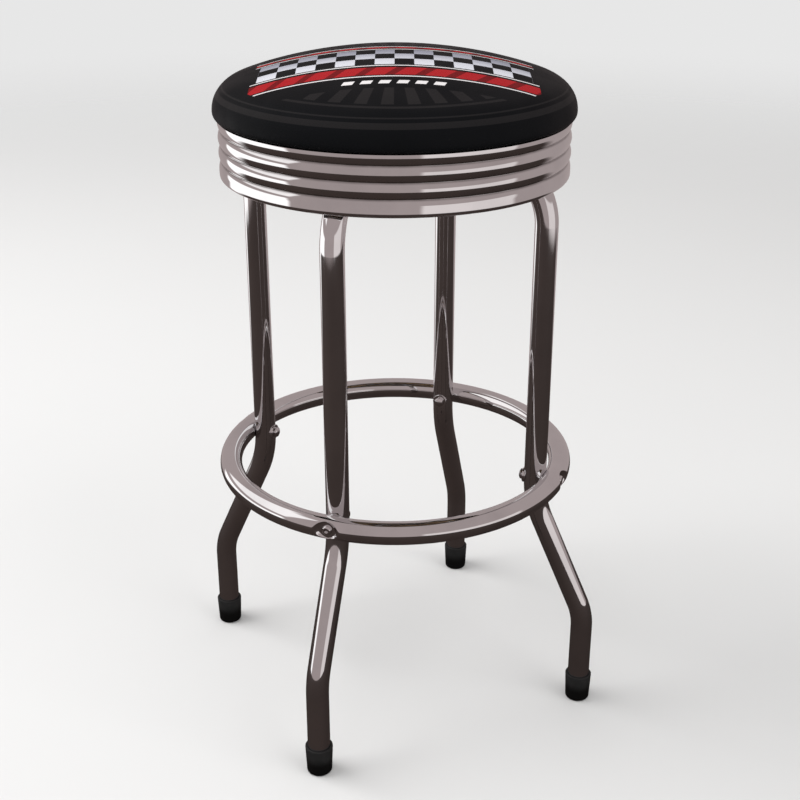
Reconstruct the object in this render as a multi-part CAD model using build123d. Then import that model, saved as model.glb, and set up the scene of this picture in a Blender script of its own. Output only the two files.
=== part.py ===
from build123d import *
import os
from math import asin, cos, radians, sin, sqrt, tan

# Swivel stool, in millimetres. The origin is on the floor under the middle of the seat, +Z is up.
# The legs stand on the diagonals, and the front of the stool faces -Y.

# Seat and trim band
seat_base_height = 693.0      # top of the trim band, which carries the cushion
band_radius = 189.5           # over the ribs
rib_pitch = 16.4              # height of one rib
full_ribs = 2                 # whole ribs, between the bottom rib and the one under the cushion
bottom_rib_height = 18.1      # bottom rib, which runs straight down below its crest
top_rib_height = 11.15        # what shows of the top rib
rib_depth = 3.2               # from the crest of a rib to the groove
band_sheet = 1.0
band_corner = 2.0             # outside bend between the top rib and the flange
flange_width = 24.0           # inward flange at the top of the band
hem_radius = 4.0              # outside of the rolled bottom edge
hem_width = 2.0               # inward lip past the rolled edge

# Cushion
cushion_overhang = 5.3        # past the ribs of the band
crown_rise = 61.2             # from the widest line to the top
shoulder_radius = 34.0        # round of the upper edge
roll_radius = 7.5             # round of the lower edge
cover_thickness = 1.2
cover_margin = 34.0           # vinyl turned under the board
soft_clearance = 0.3          # round everything soft
board_inset = 3.3             # board edge, inside the start of the lower round
board_thickness = 12.0
board_edge_round = 2.0

# Legs and foot ring
tube_diameter = 25.4
tube_wall = 1.2
leg_inset = 16.8              # leg axis, inside the ribs of the band
kick_out = 65.2               # how far the feet stand outside the uprights
kick_drop = 30.2              # corner of the kick, below the ring's axis
foot_bend_height = 117.9      # corner where the leg stands upright again
kick_bend = 122.0             # bend radii on the tube's axis
foot_bend = 77.0
foot_ring_height = 289.5
ring_tube_diameter = 25.4
ring_seat_depth = 3.3         # how deep a leg is nested into the ring
dent_depth = 6.0              # dents for the bolt heads on the outside of the ring
dent_flat_radius = 9.5
dent_slope = 42.0             # side of a dent, in degrees from its axis

# Rubber foot caps
cap_height = 34.0
cap_floor = 6.0               # rubber under the end of the tube
cap_rim_wall = 2.7
cap_foot_radius = 14.2
cap_edge_round = 3.0
cap_dish_radius = 8.0         # hollow in the sole
cap_dish_depth = 1.0

# Swivel: two pressed plates, a ring of balls and a hollow rivet
plate_edge_margin = 14.0      # from the outer holes to the edges of a plate
plate_corner = 15.0
plate_thickness = 2.5
plate_gap = 14.0              # between the flat parts of the plates
race_gap = 4.0                # between the raised parts that carry the balls
race_half_width = 6.0
ball_radius = 4.0
ball_count = 12
cage_thickness = 1.6
cage_half_width = 5.5
centre_pad_radius = 20.0      # raised middle of a plate
rivet_radius = 10.0
rivet_wall = 2.5
rivet_head_radius = 15.0
rivet_head_thickness = 1.5
pivot_washer_thickness = 1.0
inner_bolt_radius = 41.0      # leg bolts, from the swivel's axis
outer_bolt_radius = 88.0
bolt_edge_distance = 17.0     # from the inner leg bolt to the tube's end
bend_margin = 0.2             # from the outer saddle washer to the top bend

# Fasteners
bolt_diameter = 8.0           # leg bolts under the swivel
nut_flats = 13.0
nut_height = 6.5
hex_head_height = 5.3
bolt_tip = 1.5                # past the weld nut
saddle_radius = 8.5
saddle_thickness = 2.0        # at the thinnest
ring_bolt_diameter = 6.0
button_head_radius = 5.5
button_head_height = 3.3
button_head_round = 2.3
socket_flats = 4.0
socket_depth = 2.0
ring_nut_flats = 11.0
ring_nut_height = 3.4         # hexagon of a dome nut
dome_height = 1.8             # its low dome, past the hexagon
dome_depth = 3.2              # bolt inside the dome nut
dome_room = 0.6               # past the end of the bolt
ring_saddle_radius = 9.0
ring_saddle_thickness = 1.0   # at the thinnest
screw_diameter = 6.0          # plate screws
screw_head_radius = 6.0
screw_head_height = 3.3
tee_barrel_radius = 4.2
tee_flange_radius = 9.5
tee_flange_thickness = 1.5
wood_screw_count = 8
wood_screw_radius = 1.9
wood_screw_length = 9.0       # past the flange of the band
wood_screw_head_radius = 3.8
wood_screw_head_height = 2.4

# Clearances
hole_play = 0.4               # round a bolt in its hole
thread_play = 0.05            # round a bolt in its nut
tube_fit = 0.1                # between a tube and what is shaped to it
running_clearance = 0.1       # between pieces that turn on each other

# Places that follow from the sizes
tube_radius = tube_diameter / 2
ring_tube_radius = ring_tube_diameter / 2
bolt_radius = bolt_diameter / 2
ring_bolt_radius = ring_bolt_diameter / 2
screw_radius = screw_diameter / 2
bolt_hole_radius = bolt_radius + hole_play
ring_hole_radius = ring_bolt_radius + hole_play
band_height = bottom_rib_height + full_ribs * rib_pitch + top_rib_height
band_bottom = seat_base_height - band_height
cushion_radius = band_radius + cushion_overhang
cover_bottom = seat_base_height + soft_clearance
board_bottom = cover_bottom + cover_thickness + soft_clearance
board_top = board_bottom + board_thickness
board_radius = cushion_radius - roll_radius - board_inset
flange_inner_radius = band_radius - flange_width
wood_screw_circle = (flange_inner_radius + board_radius) / 2
top_plate_bottom = board_bottom - plate_thickness
bottom_plate_top = top_plate_bottom - plate_gap
bottom_plate_bottom = bottom_plate_top - plate_thickness
ball_height = (top_plate_bottom + bottom_plate_top) / 2
ball_circle_radius = (inner_bolt_radius + outer_bolt_radius) / 2
plate_side = sqrt(2) * outer_bolt_radius + 2 * plate_edge_margin
bead_height = (plate_gap - race_gap) / 2
leg_top_height = bottom_plate_bottom - tube_fit - tube_radius
leg_circle_radius = band_radius - leg_inset
foot_circle_radius = leg_circle_radius + kick_out
leg_end_radius = inner_bolt_radius - bolt_edge_distance
top_bend = leg_circle_radius - outer_bolt_radius - saddle_radius - bend_margin
foot_ring_radius = leg_circle_radius + tube_radius + ring_tube_radius - ring_seat_depth
dent_floor = foot_ring_radius + ring_tube_radius - dent_depth
ring_nut_seat = leg_circle_radius - tube_radius - tube_fit - ring_saddle_thickness
leg_head_seat = leg_top_height - tube_radius - tube_fit - saddle_thickness

leg_angles = {"front_right": -45, "back_right": 45, "back_left": 135, "front_left": -135}

leg_path = Plane.XZ * FilletPolyline(
    (leg_end_radius, leg_top_height),
    (leg_circle_radius, leg_top_height),
    (leg_circle_radius, foot_ring_height - kick_drop),
    (foot_circle_radius, foot_bend_height),
    (foot_circle_radius, cap_floor),
    radius=[top_bend, kick_bend, foot_bend],
)


def at_legs(shape):
    return [Rot(0, 0, angle) * shape for angle in leg_angles.values()]


def around(shape, count):
    return [Rot(0, 0, turn * 360 / count) * shape for turn in range(count)]


def upright(x, z):
    return Pos(x, 0, z)


def outward(x, z):
    return Pos(x, 0, z) * Rot(0, 90, 0)


def inward(x, z):
    return Pos(x, 0, z) * Rot(0, -90, 0)


def peg(radius, length):
    return Cylinder(radius, length, align=(Align.CENTER, Align.CENTER, Align.MIN))


def hexagon(flats, height):
    return extrude(RegularPolygon(flats / 2, 6, major_radius=False), height)


def turned(edges):
    return revolve(Plane.XZ * make_face(edges), Axis.Z)


# Legs: one bent tube each, drilled for the ring bolt and for the two bolts of the swivel plate
def leg_core(radius):
    start = Plane(origin=leg_path @ 0, z_dir=leg_path % 0)
    return sweep(start * Circle(radius), path=leg_path)


def leg():
    tube = leg_core(tube_radius) - leg_core(tube_radius - tube_wall)
    tube -= outward(leg_circle_radius, foot_ring_height) * Cylinder(ring_hole_radius, 2 * tube_diameter)
    for reach in (inner_bolt_radius, outer_bolt_radius):
        tube -= upright(reach, leg_top_height) * Cylinder(bolt_hole_radius, 2 * tube_diameter)
    return tube


# Foot ring: a bent tube, dented outside for the bolt heads and nested onto the legs inside.
# Both skins are made by the same presses, one wall apart, so that the tube stays hollow and closed.
def dent(skin):
    slope = radians(dent_slope)
    floor_radius = dent_flat_radius + skin / cos(slope) - skin * tan(slope)
    reach = dent_depth + ring_tube_radius
    cone = Cone(floor_radius, floor_radius + reach * tan(slope), reach,
                align=(Align.CENTER, Align.CENTER, Align.MIN))
    return outward(dent_floor - skin, foot_ring_height) * cone


def ring_quarter(skin):
    section = Plane.XZ * Pos(foot_ring_radius, foot_ring_height) * Circle(ring_tube_radius - skin)
    quarter = Rot(0, 0, -45) * revolve(section, Axis.Z, 90)
    return quarter - leg_core(tube_radius + tube_fit + skin) - dent(skin)


def foot_ring():
    quarter = ring_quarter(0) - ring_quarter(tube_wall)
    quarter -= outward(leg_circle_radius, foot_ring_height) * peg(ring_hole_radius, 2 * ring_tube_diameter)
    quarter = Rot(0, 0, 45) * quarter
    half = quarter + Rot(0, 0, 90) * quarter
    return half + Rot(0, 0, 180) * half


# Rubber cups under the tube ends, wider at the rim and hollowed in the sole
def foot_cap():
    bore = tube_radius + tube_fit
    outside = make_face(Polyline(
        (0, 0), (cap_foot_radius, 0), (bore + cap_rim_wall, cap_height), (0, cap_height), close=True))
    outside = fillet(outside.vertices().group_by(Axis.Y)[0].sort_by(Axis.X)[-1], cap_edge_round)
    cup = revolve(Plane.XZ * outside, Axis.Z)
    cup -= upright(0, cap_floor) * peg(bore, cap_height)
    cup -= Cone(cap_dish_radius, cap_dish_radius - cap_dish_depth, cap_dish_depth,
                align=(Align.CENTER, Align.CENTER, Align.MIN))
    return upright(foot_circle_radius, 0) * cup


# Bolts, nuts and washers of the ring, at the leg on the X axis
def ring_bolt():
    head = peg(button_head_radius, button_head_height)
    head = fillet(head.edges().group_by(Axis.Z)[-1], button_head_round)
    head -= upright(0, button_head_height - socket_depth) * hexagon(socket_flats, socket_depth)
    length = dent_floor - ring_nut_seat + dome_depth
    shank = Pos(0, 0, -length) * peg(ring_bolt_radius, length)
    return outward(dent_floor, foot_ring_height) * (head + shank)


def ring_washer():
    saddle = outward(ring_nut_seat, foot_ring_height) * peg(ring_saddle_radius, tube_radius)
    saddle -= leg_core(tube_radius + tube_fit)
    saddle -= outward(ring_nut_seat, foot_ring_height) * Cylinder(ring_hole_radius, tube_diameter)
    return saddle


def ring_dome_nut():
    rim = ring_nut_flats / 2
    top = ring_nut_height + dome_height
    dome_radius = (rim ** 2 + dome_height ** 2) / (2 * dome_height)
    halfway = top - dome_radius + sqrt(dome_radius ** 2 - (rim / 2) ** 2)
    dome = turned([
        Line((0, 0), (rim, 0)),
        Line((rim, 0), (rim, ring_nut_height)),
        ThreePointArc((rim, ring_nut_height), (rim / 2, halfway), (0, top)),
        Line((0, top), (0, 0)),
    ])
    nut = dome + hexagon(ring_nut_flats, ring_nut_height)
    nut -= peg(ring_bolt_radius + thread_play, dome_depth + dome_room)
    return inward(ring_nut_seat, foot_ring_height) * nut


# Bolts, nuts and washers of the swivel plate, at both places on the leg along the X axis
def leg_bolt(reach):
    length = bottom_plate_top + nut_height + bolt_tip - leg_head_seat
    bolt = peg(bolt_radius, length) + Pos(0, 0, -hex_head_height) * hexagon(nut_flats, hex_head_height)
    return upright(reach, leg_head_seat) * bolt


def leg_washer(reach):
    saddle = upright(reach, leg_head_seat) * peg(saddle_radius, tube_radius)
    saddle -= leg_core(tube_radius + tube_fit)
    return saddle - upright(reach, leg_head_seat) * Cylinder(bolt_hole_radius, tube_diameter)


def weld_nut(reach):
    nut = hexagon(nut_flats, nut_height) - peg(bolt_radius + thread_play, nut_height)
    return upright(reach, bottom_plate_top) * nut


# Swivel plates: pressed sheet with a raised middle and a raised ring that holds the ball groove
def pressed_line(height):
    groove_radius = ball_radius + running_clearance
    mouth = sqrt(groove_radius ** 2 - (race_gap / 2) ** 2)
    flat = height
    pad = height + bead_height
    race_in = ball_circle_radius - race_half_width
    race_out = ball_circle_radius + race_half_width
    return [
        Polyline(
            (rivet_radius + running_clearance, pad),
            (centre_pad_radius, pad),
            (centre_pad_radius + bead_height, flat),
            (race_in - bead_height, flat),
            (race_in, pad),
            (ball_circle_radius - mouth, pad)),
        ThreePointArc(
            (ball_circle_radius - mouth, pad),
            (ball_circle_radius, pad + race_gap / 2 - groove_radius),
            (ball_circle_radius + mouth, pad)),
        Polyline(
            (ball_circle_radius + mouth, pad),
            (race_out, pad),
            (race_out + bead_height, flat)),
    ]


def bottom_plate_blank():
    inner_edge = rivet_radius + running_clearance
    outer_edge = ball_circle_radius + race_half_width + bead_height
    pressing = turned(
        pressed_line(bottom_plate_top)
        + pressed_line(bottom_plate_bottom)
        + [Line((inner_edge, bottom_plate_bottom + bead_height),
                (inner_edge, bottom_plate_top + bead_height)),
           Line((outer_edge, bottom_plate_bottom), (outer_edge, bottom_plate_top))])
    rim = RectangleRounded(plate_side, plate_side, plate_corner) - Circle(outer_edge)
    return pressing + extrude(Pos(0, 0, bottom_plate_bottom) * rim, plate_thickness)


def swivel_bottom_plate():
    plate = bottom_plate_blank()
    for reach in (inner_bolt_radius, outer_bolt_radius):
        for hole in at_legs(upright(reach, bottom_plate_top) * Cylinder(bolt_hole_radius, plate_gap)):
            plate -= hole
    return plate


def swivel_top_plate():
    plate = mirror(bottom_plate_blank(), about=Plane.XY.offset(ball_height))
    drill = upright(outer_bolt_radius, board_bottom) * Cylinder(screw_radius + hole_play, plate_gap)
    for hole in at_legs(drill):
        plate -= hole
    return plate


# Balls, their cage, and the hollow rivet with its slip washer
def bearing_ball():
    return upright(ball_circle_radius, ball_height) * Sphere(ball_radius)


def ball_cage():
    band = Circle(ball_circle_radius + cage_half_width) - Circle(ball_circle_radius - cage_half_width)
    cage = extrude(Pos(0, 0, ball_height - cage_thickness / 2) * band, cage_thickness)
    pocket = upright(ball_circle_radius, ball_height) * Cylinder(ball_radius + running_clearance, plate_gap)
    for hole in around(pocket, ball_count):
        cage -= hole
    return cage


pivot_washer_top = bottom_plate_bottom + bead_height - running_clearance
rivet_head_bottom = top_plate_bottom - bead_height + plate_thickness


def pivot_washer():
    washer = Circle(rivet_head_radius) - Circle(rivet_radius + running_clearance)
    return extrude(Pos(0, 0, pivot_washer_top - pivot_washer_thickness) * washer, pivot_washer_thickness)


def pivot_rivet():
    foot = pivot_washer_top - pivot_washer_thickness
    rivet = upright(0, foot) * peg(rivet_radius, rivet_head_bottom - foot)
    rivet += upright(0, rivet_head_bottom) * peg(rivet_head_radius, rivet_head_thickness)
    rivet += upright(0, foot - rivet_head_thickness) * peg(rivet_head_radius, rivet_head_thickness)
    return rivet - upright(0, ball_height) * Cylinder(rivet_radius - rivet_wall, 3 * plate_gap)


# Board, with its T-nuts, plate screws and band screws
def tee_nut_shape(play):
    barrel = upright(outer_bolt_radius, board_bottom) * peg(tee_barrel_radius + play, board_thickness)
    flange = peg(tee_flange_radius + play, tee_flange_thickness)
    return barrel + upright(outer_bolt_radius, board_top - tee_flange_thickness) * flange


def board_t_nut():
    return tee_nut_shape(0) - upright(outer_bolt_radius, board_bottom) * peg(
        screw_radius + thread_play, board_thickness)


def plate_screw():
    head = Pos(0, 0, -screw_head_height) * peg(screw_head_radius, screw_head_height)
    head = chamfer(head.edges().group_by(Axis.Z)[0], screw_head_height / 2)
    shank = peg(screw_radius, plate_thickness + board_thickness)
    return upright(outer_bolt_radius, top_plate_bottom) * (head + shank)


def band_screw():
    head = Pos(0, 0, -wood_screw_head_height) * peg(wood_screw_head_radius, wood_screw_head_height)
    head = chamfer(head.edges().group_by(Axis.Z)[0], wood_screw_head_height / 2)
    shank = peg(wood_screw_radius, band_sheet + wood_screw_length)
    return upright(wood_screw_circle, seat_base_height - band_sheet) * (head + shank)


def band_screw_holes(play):
    return around(upright(wood_screw_circle, seat_base_height) * Cylinder(
        wood_screw_radius + play, 2 * (wood_screw_length + hole_play)), wood_screw_count)


def seat_board():
    board = upright(0, board_bottom) * peg(board_radius, board_thickness)
    board = fillet(board.edges(), board_edge_round)
    for hole in at_legs(tee_nut_shape(thread_play)) + band_screw_holes(thread_play):
        board -= hole
    return board


# Cushion: crown, shoulder and lower roll are tangent arcs, drawn in by one inset for each layer
def dome_line(inset):
    shoulder_centre = cushion_radius - shoulder_radius
    crown_radius = (shoulder_centre ** 2 + crown_rise ** 2 - shoulder_radius ** 2) / (
        2 * (crown_rise - shoulder_radius))
    widest_height = cover_bottom + roll_radius
    crown_centre = widest_height + crown_rise - crown_radius
    turn = asin(shoulder_centre / (crown_radius - shoulder_radius))
    half = (turn + radians(90)) / 2
    roll_centre = cushion_radius - roll_radius
    corner = sin(radians(45))

    def on_crown(angle):
        radius = crown_radius - inset
        return (radius * sin(angle), crown_centre + radius * cos(angle))

    def on_shoulder(angle):
        radius = shoulder_radius - inset
        return (shoulder_centre + radius * sin(angle), widest_height + radius * cos(angle))

    roll = roll_radius - inset
    return [
        ThreePointArc(on_crown(0), on_crown(turn / 2), on_crown(turn)),
        ThreePointArc(on_crown(turn), on_shoulder(half), (cushion_radius - inset, widest_height)),
        ThreePointArc(
            (cushion_radius - inset, widest_height),
            (roll_centre + roll * corner, widest_height - roll * corner),
            (roll_centre, cover_bottom + inset)),
    ]


def seat_cover():
    margin_edge = board_radius - cover_margin
    roll_centre = cushion_radius - roll_radius
    outside = dome_line(0)
    inside = dome_line(cover_thickness)
    cover = turned(outside + inside + [
        Line(outside[0] @ 0, inside[0] @ 0),
        Polyline(
            (roll_centre, cover_bottom),
            (margin_edge, cover_bottom),
            (margin_edge, cover_bottom + cover_thickness),
            (roll_centre, cover_bottom + cover_thickness)),
    ])
    for hole in band_screw_holes(soft_clearance):
        cover -= hole
    return cover


def seat_foam():
    skin = dome_line(cover_thickness + soft_clearance)
    foam = turned(skin + [Polyline(skin[-1] @ 1, (0, board_bottom), skin[0] @ 0)])
    return foam - upright(0, board_bottom) * peg(
        board_radius + soft_clearance, board_thickness + soft_clearance)


# Trim band: convex ribs meet in sharp grooves, the bottom rib runs down into a rolled edge,
# and the sheet follows them one thickness inside
def rib_line(inset):
    half_pitch = rib_pitch / 2
    rib_radius = (half_pitch ** 2 + rib_depth ** 2) / (2 * rib_depth)
    centre = band_radius - rib_radius
    radius = rib_radius - inset
    skirt = band_radius - inset
    hem_centre = (band_radius - hem_radius, band_bottom + hem_radius)
    hem_corner = (hem_radius - inset) * sin(radians(45))
    first_groove = band_bottom + bottom_rib_height
    crest = first_groove - half_pitch

    def reach(offset):
        return centre + sqrt(radius ** 2 - offset ** 2)

    edges = [
        ThreePointArc(
            (hem_centre[0], band_bottom + inset),
            (hem_centre[0] + hem_corner, hem_centre[1] - hem_corner),
            (skirt, hem_centre[1])),
        Line((skirt, hem_centre[1]), (skirt, crest)),
        ThreePointArc(
            (skirt, crest),
            (reach(half_pitch / 2), crest + half_pitch / 2),
            (reach(half_pitch), first_groove)),
    ]
    for rib in range(full_ribs):
        low = first_groove + rib * rib_pitch
        edges.append(ThreePointArc(
            (reach(half_pitch), low),
            (skirt, low + half_pitch),
            (reach(half_pitch), low + rib_pitch)))
    low = first_groove + full_ribs * rib_pitch
    top = seat_base_height - inset
    middle = (low + top) / 2
    edges.append(ThreePointArc(
        (reach(half_pitch), low),
        (reach(middle - low - half_pitch), middle),
        (reach(top - low - half_pitch), top)))
    return edges


def trim_band():
    outside = rib_line(0)
    inside = rib_line(band_sheet)
    hem_edge = (outside[0] @ 0).X - hem_width
    flange = Polyline(
        outside[-1] @ 1,
        (flange_inner_radius, seat_base_height),
        (flange_inner_radius, seat_base_height - band_sheet),
        inside[-1] @ 1)
    hem = Polyline(
        outside[0] @ 0,
        (hem_edge, band_bottom),
        (hem_edge, band_bottom + band_sheet),
        inside[0] @ 0)
    section = make_face(outside + inside + [flange, hem])
    for corner, round_radius in ((outside[-1] @ 1, band_corner), (inside[-1] @ 1, band_corner - band_sheet)):
        section = fillet(section.vertices().sort_by_distance(corner)[0], round_radius)
    band = revolve(Plane.XZ * section, Axis.Z)
    for hole in band_screw_holes(hole_play):
        band -= hole
    return band


nodes = {
    "foot_ring": foot_ring(),
    "ring_bolts": Compound(at_legs(ring_bolt())),
    "ring_washers": Compound(at_legs(ring_washer())),
    "ring_dome_nuts": Compound(at_legs(ring_dome_nut())),
    "swivel_bottom_plate": swivel_bottom_plate(),
    "weld_nuts": Compound(at_legs(weld_nut(inner_bolt_radius)) + at_legs(weld_nut(outer_bolt_radius))),
    "leg_bolts": Compound(at_legs(leg_bolt(inner_bolt_radius)) + at_legs(leg_bolt(outer_bolt_radius))),
    "leg_washers": Compound(at_legs(leg_washer(inner_bolt_radius)) + at_legs(leg_washer(outer_bolt_radius))),
    "bearing_balls": Compound(around(bearing_ball(), ball_count)),
    "ball_cage": ball_cage(),
    "swivel_top_plate": swivel_top_plate(),
    "pivot_rivet": pivot_rivet(),
    "pivot_washer": pivot_washer(),
    "seat_board": seat_board(),
    "board_t_nuts": Compound(at_legs(board_t_nut())),
    "plate_screws": Compound(at_legs(plate_screw())),
    "seat_foam": seat_foam(),
    "seat_cover": seat_cover(),
    "trim_band": trim_band(),
    "band_screws": Compound(around(band_screw(), wood_screw_count)),
}
for place, angle in leg_angles.items():
    nodes["leg_" + place] = Rot(0, 0, angle) * leg()
    nodes["foot_cap_" + place] = Rot(0, 0, angle) * foot_cap()

os.makedirs("parts", exist_ok=True)
for name, shape in nodes.items():
    export_step(shape, f"parts/{name}.step")
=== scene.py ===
import bpy
import bmesh
from math import asin, cos, degrees, pi, radians, sin, sqrt
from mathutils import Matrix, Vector


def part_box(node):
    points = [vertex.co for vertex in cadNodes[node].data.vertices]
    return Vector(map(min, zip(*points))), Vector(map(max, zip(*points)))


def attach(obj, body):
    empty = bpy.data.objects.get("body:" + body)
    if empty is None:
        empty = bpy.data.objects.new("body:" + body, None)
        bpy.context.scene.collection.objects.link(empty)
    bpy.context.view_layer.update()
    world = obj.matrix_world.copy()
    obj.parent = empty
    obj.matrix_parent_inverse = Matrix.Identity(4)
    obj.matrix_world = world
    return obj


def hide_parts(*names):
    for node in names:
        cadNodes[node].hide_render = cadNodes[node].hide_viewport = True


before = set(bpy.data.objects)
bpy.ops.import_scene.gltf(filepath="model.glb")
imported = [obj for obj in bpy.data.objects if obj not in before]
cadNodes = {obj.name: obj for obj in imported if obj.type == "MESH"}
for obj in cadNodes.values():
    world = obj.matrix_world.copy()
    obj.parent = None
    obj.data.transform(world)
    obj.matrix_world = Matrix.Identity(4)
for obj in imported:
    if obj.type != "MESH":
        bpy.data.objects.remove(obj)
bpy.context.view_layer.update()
scene = bpy.context.scene
print("frame:", len(cadNodes), "nodes")

# camera at the photograph's angle
cameraSetup = {"place": (-0.5689, -1.2894, 0.9821), "pitch": 66.103, "turn": -24.033, "lens": 59.03}
cameraData = bpy.data.cameras.new("stoolCamera")
cameraData.lens = cameraSetup["lens"]
camera = bpy.data.objects.new("stoolCamera", cameraData)
camera.location = cameraSetup["place"]
camera.rotation_euler = (radians(cameraSetup["pitch"]), 0, radians(cameraSetup["turn"]))
scene.collection.objects.link(camera)
scene.camera = camera


# small helpers for node trees; shade and grow add a node and hand back one of its outputs
def plug(tree, socket, value):
    if isinstance(value, bpy.types.NodeSocket):
        tree.links.new(value, socket)
    else:
        socket.default_value = value


def addNode(tree, kind, inputs=None, **settings):
    made = tree.nodes.new(kind)
    for key, value in settings.items():
        setattr(made, key, value)
    for key, value in (inputs or {}).items():
        plug(tree, made.inputs[key], value)
    return made


def shade(tree, kind, inputs=None, output=0, **settings):
    return addNode(tree, "ShaderNode" + kind, inputs, **settings).outputs[output]


def grow(tree, kind, inputs=None, output=0, **settings):
    return addNode(tree, "GeometryNode" + kind, inputs, **settings).outputs[output]


def parts(tree, vector):
    return addNode(tree, "ShaderNodeSeparateXYZ", {0: vector}).outputs


def calc(tree, operation, *values):
    return shade(tree, "Math", dict(enumerate(values)), operation=operation)


def times(tree, first, second):
    return calc(tree, "MULTIPLY", first, second)


def plus(tree, first, second):
    return calc(tree, "ADD", first, second)


def minus(tree, first, second):
    return calc(tree, "SUBTRACT", first, second)


def spread(tree, value, low, high, toLow=0.0, toHigh=1.0, kind="SMOOTHSTEP"):
    inputs = {"Value": value, "From Min": low, "From Max": high, "To Min": toLow, "To Max": toHigh}
    return shade(tree, "MapRange", inputs, interpolation_type=kind)


def blendColor(tree, share, first, second, mode="MIX"):
    return shade(tree, "Mix", {0: share, 6: first, 7: second}, 2, data_type="RGBA", blend_type=mode)


def noise(tree, coords, scale, detail=3.0, roughness=0.5):
    inputs = {"Vector": coords, "Scale": scale, "Detail": detail, "Roughness": roughness}
    return shade(tree, "TexNoise", inputs)


def newFinish(name):
    finish = bpy.data.materials.new(name)
    finish.use_nodes = True
    tree = finish.node_tree
    return finish, tree, tree.nodes["Principled BSDF"], shade(tree, "TexCoord", output="Object")


def setSockets(shader, **values):
    for label, value in values.items():
        shader.inputs[label.replace("_", " ")].default_value = value


def dress(tree, shader, color, rough=None):
    plug(tree, shader.inputs["Base Color"], color)
    if rough is not None:
        plug(tree, shader.inputs["Roughness"], rough)


def addBump(tree, shader, height, distance, strength):
    inputs = {"Height": height, "Distance": distance, "Strength": strength}
    tree.links.new(shade(tree, "Bump", inputs), shader.inputs["Normal"])


# chrome: mirror bright, with a faint haze and the slightest waviness of plated tube
chromeLook = {"bright": (0.80, 0.80, 0.81, 1), "dull": (0.70, 0.70, 0.71, 1), "clean": 0.025, "hazy": 0.075,
              "groove": (0.26, 0.25, 0.25, 1), "grooveRough": 0.10, "waviness": 0.00003}


def chromeFinish(name, grooved=False):
    finish, tree, shader, coords = newFinish(name)
    haze = spread(tree, noise(tree, coords, 11.0, 5.0, 0.6), 0.35, 0.75)
    color = blendColor(tree, haze, chromeLook["bright"], chromeLook["dull"])
    rough = spread(tree, haze, 0.0, 1.0, chromeLook["clean"], chromeLook["hazy"], "LINEAR")
    if grooved:  # dust and polish that stay in the grooves
        groove = shade(tree, "Attribute", output="Fac", attribute_name="groove")
        patchy = times(tree, groove, spread(tree, noise(tree, coords, 60.0), 0.3, 0.7, 0.75, 1.0))
        color = blendColor(tree, patchy, color, chromeLook["groove"])
        rough = calc(tree, "MULTIPLY_ADD", patchy, chromeLook["grooveRough"], rough)
    dress(tree, shader, color, rough)
    setSockets(shader, Metallic=1.0)
    addBump(tree, shader, noise(tree, coords, 70.0, 1.0), chromeLook["waviness"], 0.15)
    return finish


# inside of the band: plated but never polished, a dull grey sheet with soft clouds
sheetLook = {"light": (0.46, 0.45, 0.44, 1), "dark": (0.30, 0.29, 0.29, 1), "smooth": 0.34, "rough": 0.48,
             "grain": 0.00004}


def sheetFinish():
    finish, tree, shader, coords = newFinish("dullSheet")
    cloud = spread(tree, noise(tree, coords, 38.0, 5.0, 0.65), 0.3, 0.7)
    color = blendColor(tree, cloud, sheetLook["light"], sheetLook["dark"])
    dress(tree, shader, color, spread(tree, cloud, 0.0, 1.0, sheetLook["smooth"], sheetLook["rough"]))
    setSockets(shader, Metallic=1.0)
    addBump(tree, shader, noise(tree, coords, 320.0, 2.0), sheetLook["grain"], 0.3)
    return finish


# black rubber of the feet: dull, with a moulded grain and some dust; a painted shade makes it blacker
# towards the bottom
rubberLook = {"black": (0.017, 0.017, 0.017, 1), "dusty": (0.030, 0.029, 0.029, 1),
              "sole": (0.0030, 0.0030, 0.0030, 1), "soleTo": (0.012, 0.026), "grain": 0.00012}


def rubberFinish():
    finish, tree, shader, coords = newFinish("footRubber")
    dust = spread(tree, noise(tree, coords, 45.0, 6.0, 0.7), 0.45, 0.8)
    upper = blendColor(tree, dust, rubberLook["black"], rubberLook["dusty"])
    # painted shade: the lower part of the cup is painted darker towards the floor, standing in for the shade
    # there
    outOfShade = spread(tree, parts(tree, coords)[2], *rubberLook["soleTo"])
    color = blendColor(tree, outOfShade, rubberLook["sole"], upper)
    dress(tree, shader, color, spread(tree, dust, 0.0, 1.0, 0.55, 0.75))
    setSockets(shader, Specular_IOR_Level=0.22)
    addBump(tree, shader, noise(tree, coords, 900.0, 2.0), rubberLook["grain"], 0.4)
    return finish


# zinc plated steel of the swivel and its screws: small spangles, dull grey
zincLook = {"light": (0.56, 0.56, 0.55, 1), "dark": (0.36, 0.36, 0.36, 1), "spangle": 260.0,
            "unevenness": 0.00006}


def zincFinish():
    finish, tree, shader, coords = newFinish("zincSteel")
    cells = shade(tree, "TexVoronoi", {"Vector": coords, "Scale": zincLook["spangle"]}, "Color")
    tone = shade(tree, "SeparateColor", {"Color": cells})
    cloud = noise(tree, coords, 30.0, 4.0)
    mixed = calc(tree, "MULTIPLY_ADD", tone, 0.35, times(tree, cloud, 0.65))
    color = blendColor(tree, mixed, zincLook["dark"], zincLook["light"])
    dress(tree, shader, color, spread(tree, mixed, 0.2, 0.8, 0.30, 0.48))
    setSockets(shader, Metallic=1.0)
    addBump(tree, shader, cloud, zincLook["unevenness"], 0.3)
    return finish


# plywood of the seat board: long grain along X with darker pores
plywoodLook = {"light": (0.30, 0.20, 0.115, 1), "dark": (0.16, 0.095, 0.05, 1), "stretch": (2.2, 34.0, 8.0),
               "poreDepth": 0.0002}


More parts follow.
